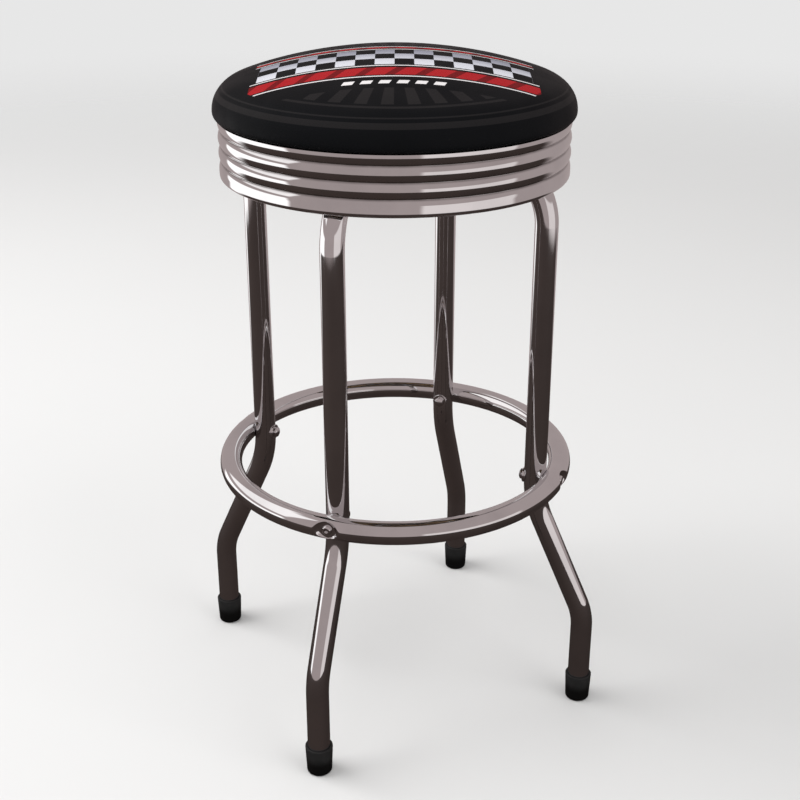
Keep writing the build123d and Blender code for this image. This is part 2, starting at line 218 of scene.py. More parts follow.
def plywoodFinish():
    finish, tree, shader, coords = newFinish("plywood")
    mapped = shade(tree, "Mapping", {"Vector": coords, "Scale": plywoodLook["stretch"]})
    waves = {"Vector": mapped, "Scale": 0.35, "Distortion": 7.0, "Detail": 3.0, "Detail Scale": 1.4}
    rings = shade(tree, "TexWave", waves, "Fac", bands_direction="Y")
    pores = spread(tree, noise(tree, mapped, 14.0, 6.0, 0.7), 0.42, 0.62)
    share = calc(tree, "MULTIPLY_ADD", pores, 0.45, times(tree, rings, 0.5))
    dress(tree, shader, blendColor(tree, share, plywoodLook["light"], plywoodLook["dark"]))
    setSockets(shader, Roughness=0.72, Specular_IOR_Level=0.3)
    addBump(tree, shader, pores, plywoodLook["poreDepth"], 0.4)
    return finish


# natural nylon of the slip washer
nylonLook = {"light": (0.80, 0.78, 0.72, 1), "dark": (0.68, 0.65, 0.58, 1), "unevenness": 0.00005}


def nylonFinish():
    finish, tree, shader, coords = newFinish("nylon")
    cloud = noise(tree, coords, 120.0, 4.0)
    dress(tree, shader, blendColor(tree, cloud, nylonLook["dark"], nylonLook["light"]))
    setSockets(shader, Roughness=0.45)
    addBump(tree, shader, cloud, nylonLook["unevenness"], 0.2)
    return finish


# upholstery foam: pale yellow open cells
foamLook = {"light": (0.83, 0.74, 0.48, 1), "dark": (0.55, 0.45, 0.24, 1), "cells": 700.0,
            "cellDepth": 0.0006}


def foamFinish():
    finish, tree, shader, coords = newFinish("cushionFoam")
    cells = shade(tree, "TexVoronoi", {"Vector": coords, "Scale": foamLook["cells"]}, "Distance")
    dress(tree, shader, blendColor(tree, cells, foamLook["light"], foamLook["dark"]))
    setSockets(shader, Roughness=0.95, Specular_IOR_Level=0.1)
    addBump(tree, shader, cells, foamLook["cellDepth"], 0.6)
    return finish


# black vinyl with a fine leather grain and a printed check, bar and fan, square to the camera
vinylLook = {"black": (0.0052, 0.0057, 0.0067, 1), "ghost": (0.0160, 0.0150, 0.0157, 1), "grain": 1150.0,
             "grainDepth": 0.00009, "worn": (0.6, 0.6, 0.6, 1), "white": (0.74, 0.71, 0.71, 1),
             "silverShaded": (0.24, 0.24, 0.29, 1), "silverLit": (0.62, 0.62, 0.67, 1),
             "red": (0.36, 0.012, 0.016, 1), "redDark": (0.15, 0.006, 0.008, 1)}
printLayout = {"turn": 24.03, "reach": 0.174, "topFrom": 0.01, "middle": -0.040, "edge": 0.0003,
               "square": 0.020, "checkHigh": 0.030, "checkHalf": 0.140,
               "barFrom": 0.0395, "barTo": 0.0600, "thinTo": 0.0470, "barHalf": 0.146, "line": 0.0022,
               "gap": 0.0026, "stripeLean": -0.6, "stripeStep": 0.030, "stripeFrom": (0.020, 0.0206),
               "dashFrom": 0.0740, "dashTo": 0.0815, "dashes": 6, "dashStep": 0.018, "dashLean": 0.35,
               "dashMiddle": 0.027, "dashPart": (0.2, 0.8, 0.015),
               "fanFront": 0.091, "fanBack": 0.060, "fanOut": 0.164, "arc": 0.0035, "rays": 30,
               "rings": [(0.7255, 0.7267), (0.7170, 0.7224)]}


def between(tree, value, low, high, soft=printLayout["edge"]):
    up = spread(tree, value, low - soft, low + soft)
    down = spread(tree, value, high - soft, high + soft, 1.0, 0.0)
    return times(tree, up, down)


def vinylFinish():
    finish, tree, shader, coords = newFinish("seatVinyl")
    art = printLayout
    turned = shade(tree, "Mapping", {"Vector": coords, "Rotation": (0, 0, radians(art["turn"]))})
    across, away, height = parts(tree, turned)
    flat = shade(tree, "CombineXYZ", {"X": across, "Y": away})
    reach = shade(tree, "VectorMath", {0: flat}, "Value", operation="LENGTH")
    within = spread(tree, reach, art["reach"] - art["edge"], art["reach"] + art["edge"], 1.0, 0.0)
    upper = calc(tree, "GREATER_THAN", height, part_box("seat_cover")[0].z + art["topFrom"])
    onTop = times(tree, within, upper)
    shifted = minus(tree, away, art["middle"])
    ahead = times(tree, shifted, -1.0)
    # three rows of silver squares
    column = calc(tree, "FLOOR", calc(tree, "DIVIDE", across, art["square"]))
    row = calc(tree, "FLOOR", calc(tree, "DIVIDE", plus(tree, shifted, art["checkHigh"]), art["square"]))
    odd = calc(tree, "FLOORED_MODULO", plus(tree, column, row), 2.0)
    inCheck = times(tree, between(tree, shifted, -art["checkHigh"], art["checkHigh"]),
                    between(tree, across, -art["checkHalf"], art["checkHalf"]))
    check = times(tree, odd, inCheck)
    # red bars with slanted darker stripes before and behind, white lines along the edges
    barSpan = between(tree, across, -art["barHalf"], art["barHalf"])
    bars = calc(tree, "MAXIMUM", between(tree, ahead, art["barFrom"], art["barTo"]),
                between(tree, shifted, art["barFrom"], art["thinTo"]))
    bar = times(tree, barSpan, bars)
    slanted = calc(tree, "MULTIPLY_ADD", away, art["stripeLean"], across)
    stripe = spread(tree, calc(tree, "FLOORED_MODULO", slanted, art["stripeStep"]), *art["stripeFrom"])
    edge = art["checkHigh"] + art["gap"]
    ruled = between(tree, calc(tree, "ABSOLUTE", shifted), edge, edge + art["line"])
    for side, start in ((ahead, art["barTo"] + art["gap"]), (shifted, art["thinTo"] + art["gap"])):
        ruled = calc(tree, "MAXIMUM", ruled, between(tree, side, start, start + art["line"]))
    lines = times(tree, barSpan, ruled)
    # a short row of white dashes
    leaned = calc(tree, "MULTIPLY_ADD", ahead, art["dashLean"], minus(tree, across, art["dashMiddle"]))
    place = calc(tree, "DIVIDE", leaned, art["dashStep"])
    inRow = between(tree, calc(tree, "FLOOR", place), -art["dashes"] / 2 - 0.5, art["dashes"] / 2 - 0.5)
    dash = times(tree, between(tree, calc(tree, "FRACT", place), *art["dashPart"]),
                 times(tree, between(tree, ahead, art["dashFrom"], art["dashTo"]), inRow))
    white = calc(tree, "MAXIMUM", lines, dash)
    # a fan of dark grey rays before and behind, with a thin arc round it, and two rings round the shoulder
    angle = calc(tree, "ARCTAN2", shifted, across)
    wedge = calc(tree, "FLOORED_MODULO", times(tree, angle, art["rays"] / pi), 2.0)
    inFan = calc(tree, "LESS_THAN", reach, art["fanOut"])
    rays = times(tree, between(tree, wedge, 0.02, 0.98, 0.02), inFan)
    arc = between(tree, reach, art["fanOut"] + art["arc"], art["fanOut"] + 2 * art["arc"])
    clear = calc(tree, "MAXIMUM", calc(tree, "GREATER_THAN", ahead, art["fanFront"]),
                 calc(tree, "GREATER_THAN", shifted, art["fanBack"]))
    ghost = times(tree, times(tree, calc(tree, "MAXIMUM", rays, arc), clear), onTop)
    for low, high in art["rings"]:
        ghost = calc(tree, "MAXIMUM", ghost, between(tree, height, low, high))
    # the layers of ink over the black
    cloud = noise(tree, coords, 24.0, 4.0)
    color = blendColor(tree, ghost, vinylLook["black"], vinylLook["ghost"])
    # painted sheen: the silver print is a flat grey ink, painted lighter and darker across the three rows in
    # place of a metallic shine
    silverSheen = spread(tree, shifted, -art["checkHigh"], art["checkHigh"])
    silver = blendColor(tree, silverSheen, vinylLook["silverLit"], vinylLook["silverShaded"])
    color = blendColor(tree, times(tree, check, onTop), color, silver)
    redInk = blendColor(tree, stripe, vinylLook["red"], vinylLook["redDark"])
    color = blendColor(tree, times(tree, bar, onTop), color, redInk)
    color = blendColor(tree, times(tree, white, onTop), color, vinylLook["white"])
    worn = blendColor(tree, times(tree, cloud, 0.35), color, vinylLook["worn"], "MULTIPLY")
    dress(tree, shader, worn, spread(tree, cloud, 0.3, 0.7, 0.50, 0.60))
    cells = {"Vector": coords, "Scale": vinylLook["grain"], "Randomness": 0.9}
    grain = shade(tree, "TexVoronoi", cells, "Distance")
    pebble = calc(tree, "MULTIPLY_ADD", noise(tree, coords, 420.0, 3.0), 0.5, grain)
    setSockets(shader, Specular_IOR_Level=0.06)
    addBump(tree, shader, pebble, vinylLook["grainDepth"], 0.35)
    return finish


chrome = chromeFinish("chrome")
bandChrome = chromeFinish("bandChrome", grooved=True)
dullSheet = sheetFinish()
rubber = rubberFinish()
zinc = zincFinish()
plywood = plywoodFinish()
nylon = nylonFinish()
foam = foamFinish()
vinyl = vinylFinish()
print("finishes made")


# mesh helpers
def addPiece(name, mesh):
    piece = bpy.data.objects.new(name, mesh)
    scene.collection.objects.link(piece)
    return piece


def atTurn(reach, height, angle):
    return (reach * cos(angle), reach * sin(angle), height)


def turnedMesh(name, outline, steps, sharp=40):
    # outline(angle) gives (radius, height) pairs; a pair on the axis becomes one shared pole
    shape = bmesh.new()
    rows = [(2 * pi * turn / steps, outline(2 * pi * turn / steps)) for turn in range(steps)]
    rings = []
    for place in range(len(rows[0][1])):
        radius, height = rows[0][1][place]
        if radius < 1e-7:
            rings.append([shape.verts.new((0, 0, height))] * steps)
        else:
            rings.append([shape.verts.new(atTurn(*line[place], angle)) for angle, line in rows])
    for lower, upper in zip(rings, rings[1:]):
        for turn in range(steps):
            after = (turn + 1) % steps
            corners = list(dict.fromkeys((lower[turn], lower[after], upper[after], upper[turn])))
            if len(corners) > 2:
                shape.faces.new(corners)
    bmesh.ops.recalc_face_normals(shape, faces=shape.faces)
    mesh = bpy.data.meshes.new(name)
    shape.to_mesh(mesh)
    shape.free()
    mesh.shade_smooth()
    mesh.set_sharp_from_angle(angle=radians(sharp))
    return mesh


def arcPairs(middle, radius, fromAngle, toAngle, steps):
    # points on an arc in (radius, height), angles in degrees from the +radius direction
    turns = [radians(fromAngle + (toAngle - fromAngle) * step / steps) for step in range(steps + 1)]
    return [(middle[0] + radius * cos(turn), middle[1] + radius * sin(turn)) for turn in turns]


def newTree(name, inputs):
    # inputs lists the labels under each kind of socket; every tree has a finish too
    tree = bpy.data.node_groups.new(name, "GeometryNodeTree")
    for kind, labels in {"Geometry": ["Geometry"], **inputs, "Material": ["Finish"]}.items():
        for label in labels:
            tree.interface.new_socket(label, in_out="INPUT", socket_type="NodeSocket" + kind)
    tree.interface.new_socket("Geometry", in_out="OUTPUT", socket_type="NodeSocketGeometry")
    tree.is_modifier = True
    return tree, tree.nodes.new("NodeGroupInput").outputs


def closeTree(tree, geometry, given):
    realized = grow(tree, "RealizeInstances", {"Geometry": geometry})
    finished = grow(tree, "SetMaterial", {"Geometry": realized, "Material": given["Finish"]})
    tree.links.new(finished, tree.nodes.new("NodeGroupOutput").inputs[0])


def growPiece(name, tree, values, mesh=None):
    # values may hold more than the tree has inputs for; those with the label of an input are set
    piece = addPiece(name, mesh or bpy.data.meshes.new(name))
    modifier = piece.modifiers.new("nodes", "NODES")
    modifier.node_group = tree
    for item in tree.interface.items_tree:
        if item.in_out == "INPUT" and item.name in values:
            modifier[item.identifier] = values[item.name]
    graph = bpy.context.evaluated_depsgraph_get()
    shaped = piece.evaluated_get(graph)
    grown = bpy.data.meshes.new_from_object(shaped, preserve_all_data_layers=True, depsgraph=graph)
    piece.modifiers.remove(modifier)
    piece.data = grown
    grown.name = name
    return piece


def addWall(piece, thickness, inside=None):
    wall = piece.modifiers.new("wall", "SOLIDIFY")
    wall.thickness = thickness
    wall.offset = -1
    wall.use_even_offset = True
    if inside:  # the inner faces take the second slot
        piece.data.materials.append(inside)
        wall.material_offset = 1


def smoothed(tree, mesh, sharp):
    soft = grow(tree, "SetShadeSmooth", {0: mesh})
    bend = grow(tree, "InputMeshEdgeAngle")
    keen = calc(tree, "GREATER_THAN", bend, radians(sharp))
    return grow(tree, "SetShadeSmooth", {0: soft, 1: keen, 2: False}, domain="EDGE")


def circleCurve(tree, sides, radius):
    return grow(tree, "CurvePrimitiveCircle", {"Resolution": sides, "Radius": radius})


def polarSpot(tree, reach, angle, height):
    axes = {"X": times(tree, reach, calc(tree, "COSINE", angle)),
            "Y": times(tree, reach, calc(tree, "SINE", angle)), "Z": height}
    return shade(tree, "CombineXYZ", axes)


def past(tree, value, start):
    # how far value lies past start, or 0 before it
    return calc(tree, "MAXIMUM", minus(tree, value, start), 0.0)


# a tube along a path whose corners are rounded by the radius stored at each point
def bentTubeTree():
    tree, given = newTree("bentTube", {"Float": ["Tube Radius"], "Int": ["Sides", "Bend Steps"],
                                       "Bool": ["Close Ends"]})
    path = grow(tree, "MeshToCurve", {"Mesh": given["Geometry"]})
    bend = grow(tree, "InputNamedAttribute", {"Name": "bend"}, data_type="FLOAT")
    corners = {"Curve": path, "Count": given["Bend Steps"], "Radius": bend}
    rounded = grow(tree, "FilletCurve", corners, mode="POLY")
    section = circleCurve(tree, given["Sides"], given["Tube Radius"])
    sweep = {"Curve": rounded, "Profile Curve": section, "Fill Caps": given["Close Ends"]}
    tube = grow(tree, "CurveToMesh", sweep)
    closeTree(tree, smoothed(tree, tube, 50), given)
    return tree


def pathMesh(name, points, bends):
    mesh = bpy.data.meshes.new(name)
    mesh.from_pydata(points, [(place, place + 1) for place in range(len(points) - 1)], [])
    mesh.attributes.new("bend", "FLOAT", "POINT").data.foreach_set("value", bends)
    return mesh


bentTube = bentTubeTree()
ringLow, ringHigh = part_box("foot_ring")
bandLow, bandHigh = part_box("trim_band")
coverLow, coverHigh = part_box("seat_cover")

# four bent tube legs
legTube = {"Tube Radius": 0.0127, "Sides": 72, "Bend Steps": 28, "Close Ends": False, "wall": 0.0012,
           "circle": bandHigh.x - 0.0168, "topEnd": 0.024, "topBend": 0.076, "topHeight": 0.6630,
           "kickOut": 0.0652, "kickDrop": 0.0302, "kickBend": 0.122, "footBendHeight": 0.1179,
           "footBend": 0.077, "end": 0.006, "brim": 0.002, "play": 0.0001}
legAngles = {"front_right": -45, "back_right": 45, "back_left": 135, "front_left": -135}
ringHeight = (ringLow.z + ringHigh.z) / 2


def legPiece(place, angle):
    # a short last stretch, the brim, keeps the shading straight at both ends
    top, inner, brim = legTube["topHeight"], legTube["topEnd"], legTube["brim"]
    circle, end = legTube["circle"], legTube["end"]
    foot = circle + legTube["kickOut"]
    line = [(inner, top), (inner + brim, top), (circle, top), (circle, ringHeight - legTube["kickDrop"]),
            (foot, legTube["footBendHeight"]), (foot, end + brim), (foot, end)]
    points = [atTurn(reach, height, radians(angle)) for reach, height in line]
    bends = [0.0, 0.0, legTube["topBend"], legTube["kickBend"], legTube["footBend"], 0.0, 0.0]
    name = "tube_leg_" + place
    piece = growPiece(name, bentTube, {**legTube, "Finish": chrome}, pathMesh(name, points, bends))
    addWall(piece, legTube["wall"])
    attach(piece, "base")
    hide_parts("leg_" + place)


for place, angle in legAngles.items():
    legPiece(place, angle)
print("legs bent")

# foot ring: a bent tube, dented outside for the bolt heads and pressed onto the legs inside
ringTube = {"Around": 960, "Sides": 80, "Ring Radius": 0.1948, "Tube Radius": (ringHigh.z - ringLow.z) / 2,
            "Height": ringHeight, "Dent Floor": 0.2015, "Dent Flat": 0.0095, "Dent Slope": radians(42),
            "Dent Edge": 0.0022, "Leg Circle": legTube["circle"],
            "Leg Radius": legTube["Tube Radius"] + legTube["play"], "Seat Edge": 0.0010}


def pressedRingTree():
    tree, given = newTree("pressedRing", {
        "Int": ["Around", "Sides"],
        "Float": ["Ring Radius", "Tube Radius", "Height", "Dent Floor", "Dent Flat", "Dent Slope",
                  "Dent Edge", "Leg Circle", "Leg Radius", "Seat Edge"]})
    hoop = circleCurve(tree, given["Around"], given["Ring Radius"])
    section = circleCurve(tree, given["Sides"], given["Tube Radius"])
    tube = grow(tree, "CurveToMesh", {"Curve": hoop, "Profile Curve": section})
    x, y, z = parts(tree, grow(tree, "InputPosition"))
    half = sqrt(0.5)
    # all four quarters fold onto one leg: along it, beside it and above the ring's middle
    foldedX = calc(tree, "ABSOLUTE", x)
    foldedY = calc(tree, "ABSOLUTE", y)
    along = times(tree, plus(tree, foldedX, foldedY), half)
    beside = times(tree, minus(tree, foldedY, foldedX), half)
    besideSquare = times(tree, beside, beside)
    fromBolt = calc(tree, "SQRT", calc(tree, "MULTIPLY_ADD", z, z, besideSquare))
    rise = past(tree, fromBolt, given["Dent Flat"])
    slope = calc(tree, "DIVIDE", rise, calc(tree, "TANGENT", given["Dent Slope"]))
    limit = plus(tree, given["Dent Floor"], slope)
    dented = calc(tree, "SMOOTH_MIN", along, limit, given["Dent Edge"])
    depth = minus(tree, times(tree, given["Leg Radius"], given["Leg Radius"]), besideSquare)
    seat = plus(tree, given["Leg Circle"], calc(tree, "SQRT", calc(tree, "MAXIMUM", depth, 0.0)))
    seat = times(tree, seat, calc(tree, "GREATER_THAN", depth, 0.0))  # only right beside a leg
    pressed = calc(tree, "SMOOTH_MAX", dented, seat, given["Seat Edge"])
    push = times(tree, minus(tree, pressed, along), half)
    pushX = times(tree, calc(tree, "SIGN", x), push)
    pushY = times(tree, calc(tree, "SIGN", y), push)
    offset = shade(tree, "CombineXYZ", {"X": pushX, "Y": pushY, "Z": given["Height"]})
    moved = grow(tree, "SetPosition", {"Geometry": tube, "Offset": offset})
    closeTree(tree, smoothed(tree, moved, 60), given)
    return tree


footRing = growPiece("pressed_foot_ring", pressedRingTree(), {**ringTube, "Finish": chrome})
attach(footRing, "base")
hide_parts("foot_ring")
print("foot ring pressed,", len(footRing.data.polygons), "faces")

# rubber cups under the tube ends
footCup = {"height": 0.034, "floor": 0.006, "bore": 0.0128, "rim": 0.0155, "foot": 0.0142, "edge": 0.003,
           "dish": 0.008, "dishDepth": 0.001, "dishSlope": 0.0012, "dishEdge": (0.0004, 0.0001),
           "lip": 0.0009, "innerLip": 0.0006, "steps": 64}


def cupOutline(angle):
    cup = footCup
    dish, deep, top = cup["dish"], cup["dishDepth"], cup["height"]
    edge, lip, innerLip = cup["edge"], cup["lip"], cup["innerLip"]
    edgeIn, edgeUp = cup["dishEdge"]
    flare, wall = cup["rim"] - cup["foot"], top - edge - lip
    line = [(0, deep), (dish - cup["dishSlope"], deep), (dish, edgeUp), (dish + edgeIn, 0)]
    line += arcPairs((cup["foot"] - edge, edge), edge, -90, 0, 7)
    line += [(cup["foot"] + flare * share, edge + wall * share) for share in (0.2, 0.45, 0.7, 0.9)]
    line += arcPairs((cup["rim"] - lip, top - lip), lip, 0, 90, 4)
    line += arcPairs((cup["bore"] + innerLip, top - innerLip), innerLip, 90, 180, 3)
    return line + [(cup["bore"], top * 0.5), (cup["bore"], cup["floor"]), (0, cup["floor"])]


for place, angle in legAngles.items():
    mesh = turnedMesh("rubber_foot_" + place, cupOutline, footCup["steps"])
    low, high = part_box("foot_cap_" + place)
    for vertex in mesh.vertices:
        vertex.co += Vector(((low.x + high.x) / 2, (low.y + high.y) / 2, low.z))
    cup = addPiece("rubber_foot_" + place, mesh)
    mesh.materials.append(rubber)
    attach(cup, "base")
    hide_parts("foot_cap_" + place)
print("rubber feet turned")

# trim band: one rule for hem, ribs and flange, turned round the axis; Around counts the seam twice
trimBand = {"Around": 241, "Steps": 128, "Radius": bandHigh.x, "Bottom": bandLow.z,
            "Wall Height": bandHigh.z - bandLow.z, "Rib Pitch": 0.0164, "Rib Depth": 0.0032,
            "Bottom Rib": 0.0181, "Groove Round": 0.0006, "Dust Width": 0.0022, "Hem Radius": 0.004,
            "Hem": 0.002, "Flange": 0.024, "Seam": 0.00001, "sheet": 0.001}


def ribbedBandTree():
    tree, given = newTree("ribbedBand", {
        "Int": ["Around", "Steps"],
        "Float": ["Radius", "Bottom", "Wall Height", "Rib Pitch", "Rib Depth", "Bottom Rib", "Groove Round",
                  "Dust Width", "Hem Radius", "Hem", "Flange", "Seam"]})
    grid = grow(tree, "MeshGrid", {"Vertices X": given["Around"], "Vertices Y": given["Steps"]})
    spot = parts(tree, grow(tree, "InputPosition"))
    angle = times(tree, plus(tree, spot[0], 0.5), 2 * pi)
    # along the sheet: the lip of the hem, its rolled edge, the wall and the flange
    roll = times(tree, given["Hem Radius"], pi / 2)
    straight = minus(tree, given["Wall Height"], given["Hem Radius"])
    toFlange = plus(tree, given["Hem"], plus(tree, roll, straight))
    whole = plus(tree, toFlange, given["Flange"])
    along = times(tree, plus(tree, spot[1], 0.5), whole)
    fromLip = past(tree, along, given["Hem"])
    bend = calc(tree, "MINIMUM", calc(tree, "DIVIDE", fromLip, given["Hem Radius"]), pi / 2)
    bentUp = minus(tree, 1.0, calc(tree, "COSINE", bend))
    bentIn = minus(tree, 1.0, calc(tree, "SINE", bend))
    onWall = calc(tree, "MINIMUM", past(tree, fromLip, roll), straight)
    climbed = plus(tree, times(tree, given["Hem Radius"], bentUp), onWall)
    flat = plus(tree, past(tree, given["Hem"], along), past(tree, along, toFlange))
    tucked = plus(tree, flat, times(tree, given["Hem Radius"], bentIn))
    # ribs are arcs that meet in softened grooves; the bottom rib runs straight down from its crest
    half = times(tree, given["Rib Pitch"], 0.5)
    inWall = minus(tree, climbed, minus(tree, given["Bottom Rib"], given["Rib Pitch"]))
    inRib = calc(tree, "FLOORED_MODULO", calc(tree, "MAXIMUM", inWall, half), given["Rib Pitch"])
    fromGroove = calc(tree, "MINIMUM", inRib, minus(tree, given["Rib Pitch"], inRib))
    roundSquare = times(tree, given["Groove Round"], given["Groove Round"])
    softened = calc(tree, "SQRT", calc(tree, "MULTIPLY_ADD", fromGroove, fromGroove, roundSquare))
    chord = calc(tree, "MULTIPLY_ADD", half, half, times(tree, given["Rib Depth"], given["Rib Depth"]))
    arc = calc(tree, "DIVIDE", chord, times(tree, given["Rib Depth"], 2.0))
    fromCrest = minus(tree, half, softened)
    bulge = calc(tree, "SQRT", minus(tree, times(tree, arc, arc), times(tree, fromCrest, fromCrest)))
    outer = plus(tree, minus(tree, given["Radius"], arc), bulge)
    reach = minus(tree, outer, tucked)
    place = polarSpot(tree, reach, angle, plus(tree, given["Bottom"], climbed))
    dusty = spread(tree, fromGroove, 0.0, given["Dust Width"], 1.0, 0.0)
    mark = {"Geometry": grid, "Name": "groove", "Value": dusty}
    marked = grow(tree, "StoreNamedAttribute", mark, data_type="FLOAT", domain="POINT")
    turned = grow(tree, "SetPosition", {"Geometry": marked, "Position": place})
    closed = grow(tree, "MergeByDistance", {"Geometry": turned, "Distance": given["Seam"]})
    closeTree(tree, smoothed(tree, closed, 60), given)
    return tree


band = growPiece("ribbed_band", ribbedBandTree(), {**trimBand, "Finish": bandChrome})
addWall(band, trimBand["sheet"], dullSheet)
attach(band, "seat")
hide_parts("trim_band")
print("band rolled,", len(band.data.polygons), "faces")

# cushion: the cover starts slack, is blown up as cloth over the pinned margin and ends at the CAD dome
cushion = {"radius": coverHigh.x, "bottom": coverLow.z, "top": coverHigh.z, "shoulder": 0.034,
           "roll": 0.0075, "slack": 0.0026, "edgeSlack": 0.0005, "tautFrom": 0.088, "tautTo": 0.166,
           "step": 0.0042, "around": 144, "margin": 0.150, "marginRows": 9, "flatWithin": 0.0004,
           "heldPast": 0.001, "thickness": 0.0012, "pressure": 4.0, "frames": 20, "evenOut": 12,
           "pleats": 76, "pleatDepth": 0.0011, "pleatFrom": 0.1635, "pleatMix": 0.6, "pleatShift": 1.3}
clothNature = {"quality": 8, "mass": 0.4, "tension_stiffness": 20, "compression_stiffness": 20,
               "bending_stiffness": 2, "use_pressure": True, "uniform_pressure_force": cushion["pressure"]}


def domeLine(inset):
    # crown, shoulder and lower roll as tangent arcs, from the pole to the start of the turned-under margin
    shoulder, roll = cushion["shoulder"], cushion["roll"]
    widest = cushion["bottom"] + roll
    rise = cushion["top"] - widest
    inner = cushion["radius"] - shoulder
    crown = (inner ** 2 + rise ** 2 - shoulder ** 2) / (2 * (rise - shoulder))
    turn = asin(inner / (crown - shoulder))
    edge, steps = 90 - degrees(turn), int(crown * turn / cushion["step"])
    line = arcPairs((0, cushion["top"] - crown), crown - inset, 90, edge, steps)
    line += arcPairs((inner, widest), shoulder - inset, edge, 0, 12)[1:]
    return line + arcPairs((cushion["radius"] - roll, widest), roll - inset, 0, -90, 6)[1:]


def tautShare(reach):
    # slack on the crown, nearly taut over the shoulder
    share = min(max((reach - cushion["tautFrom"]) / (cushion["tautTo"] - cushion["tautFrom"]), 0), 1)
    return share * share * (3 - 2 * share)


def coverOutline(angle):
    dome = []
    for loose, tight in zip(domeLine(cushion["slack"]), domeLine(cushion["edgeSlack"])):
        dome.append(tuple(a + (b - a) * tautShare(tight[0]) for a, b in zip(loose, tight)))
    last = dome[-1][0]
    dome[-1] = (last, cushion["bottom"])
    rows = cushion["marginRows"]
    inwards = [last + (cushion["margin"] - last) * row / rows for row in range(1, rows + 1)]
    return dome + [(reach, cushion["bottom"]) for reach in inwards]


def blowUp(piece, held):
    # Cloth with pressure, stepped through its frames; each point may swell outwards as far as the CAD dome
    group = piece.vertex_groups.new(name="held")
    group.add(held, 1.0, "REPLACE")
    cloth = piece.modifiers.new("cloth", "CLOTH")
    for key, value in clothNature.items():
        setattr(cloth.settings, key, value)
    cloth.settings.vertex_group_mass = group.name
    cloth.settings.effector_weights.gravity = 0
    cloth.point_cache.frame_end = cushion["frames"]
    for step in range(1, cushion["frames"] + 1):
        scene.frame_set(step)
    graph = bpy.context.evaluated_depsgraph_get()
    moved = [vertex.co.copy() for vertex in piece.evaluated_get(graph).data.vertices]
    piece.modifiers.remove(cloth)
    piece.vertex_groups.remove(group)
    scene.frame_set(1)
    swell, most = [], []
    tightened = cushion["edgeSlack"] - cushion["slack"]
    for vertex, target in zip(piece.data.vertices, moved):
        most.append(cushion["slack"] + tightened * tautShare(vertex.co.xy.length))
        outwards = (target - vertex.co).dot(vertex.normal)
        swell.append(min(max(outwards, 0), most[-1]))  # the foam keeps it from sinking in
    beside = [[] for vertex in piece.data.vertices]
    for first, second in (edge.vertices for edge in piece.data.edges):
        beside[first].append(second)
        beside[second].append(first)
    for turn in range(cushion["evenOut"]):
        pairs = zip(swell, beside)
        swell = [(own + sum(swell[other] for other in near)) / (len(near) + 1) for own, near in pairs]
        for place in held:
            swell[place] = 0.0
    normals = [vertex.normal.copy() for vertex in piece.data.vertices]
    for vertex, normal, amount, cap in zip(piece.data.vertices, normals, swell, most):
        vertex.co += normal * min(amount, cap)
    print("cover blown up by", round(sum(swell) / len(swell), 5), "on average")


def isUnder(vertex, within):
    return vertex.co.z < cushion["bottom"] + cushion["flatWithin"] and vertex.co.xy.length < within


cover = addPiece("vinyl_cover", turnedMesh("vinyl_cover", coverOutline, cushion["around"], sharp=80))
cover.data.materials.append(vinyl)
heldWithin = cushion["radius"] - cushion["roll"] + cushion["heldPast"]
underside = [vertex.index for vertex in cover.data.vertices if isUnder(vertex, heldWithin)]
blowUp(cover, underside)
for vertex in cover.data.vertices:  # pleats of the margin where it is gathered over the staples
    if isUnder(vertex, cushion["pleatFrom"]):
        angle = vertex.co.xy.angle_signed(Vector((1, 0)))
        fineWave = sin(cushion["pleats"] / 2 * angle)
        broadWave = sin(cushion["pleats"] / 4 * angle + cushion["pleatShift"])
        wave = cushion["pleatMix"] * fineWave + (1 - cushion["pleatMix"]) * broadWave
        share = (cushion["pleatFrom"] - vertex.co.xy.length) / (cushion["pleatFrom"] - cushion["margin"])
        vertex.co.z -= cushion["pleatDepth"] * share * (0.5 + 0.5 * wave)
addWall(cover, cushion["thickness"])
fine = cover.modifiers.new("fine", "SUBSURF")
fine.levels = fine.render_levels = 1
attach(cover, "seat")
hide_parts("seat_cover")

# foam under the cover, hollowed for the board
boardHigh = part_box("seat_board")[1]
foamPad = {"inset": 0.0042, "sidePlay": 0.0005, "topPlay": 0.0006, "cornerDrop": 0.003, "cornerIn": 0.01,
           "steps": 96}


def foamOutline(angle):
    line = domeLine(foamPad["inset"])
    edge, roof = boardHigh.x + foamPad["sidePlay"], boardHigh.z + foamPad["topPlay"]
    line += [(edge, line[-1][1]), (edge, boardHigh.z - foamPad["cornerDrop"]), (edge, roof)]
    return line + [(edge - foamPad["cornerIn"], roof), (edge * 0.5, roof), (0, roof)]


pad = addPiece("foam_pad", turnedMesh("foam_pad", foamOutline, foamPad["steps"]))
pad.data.materials.append(foam)
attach(pad, "seat")
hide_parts("seat_foam")
print("cushion made")


def strayed(tree, size, seed):
    # a random value between -size and size
    inputs = {2: times(tree, size, -1.0), 3: size, "Seed": seed}
    return addNode(tree, "FunctionNodeRandomValue", inputs, data_type="FLOAT").outputs[1]


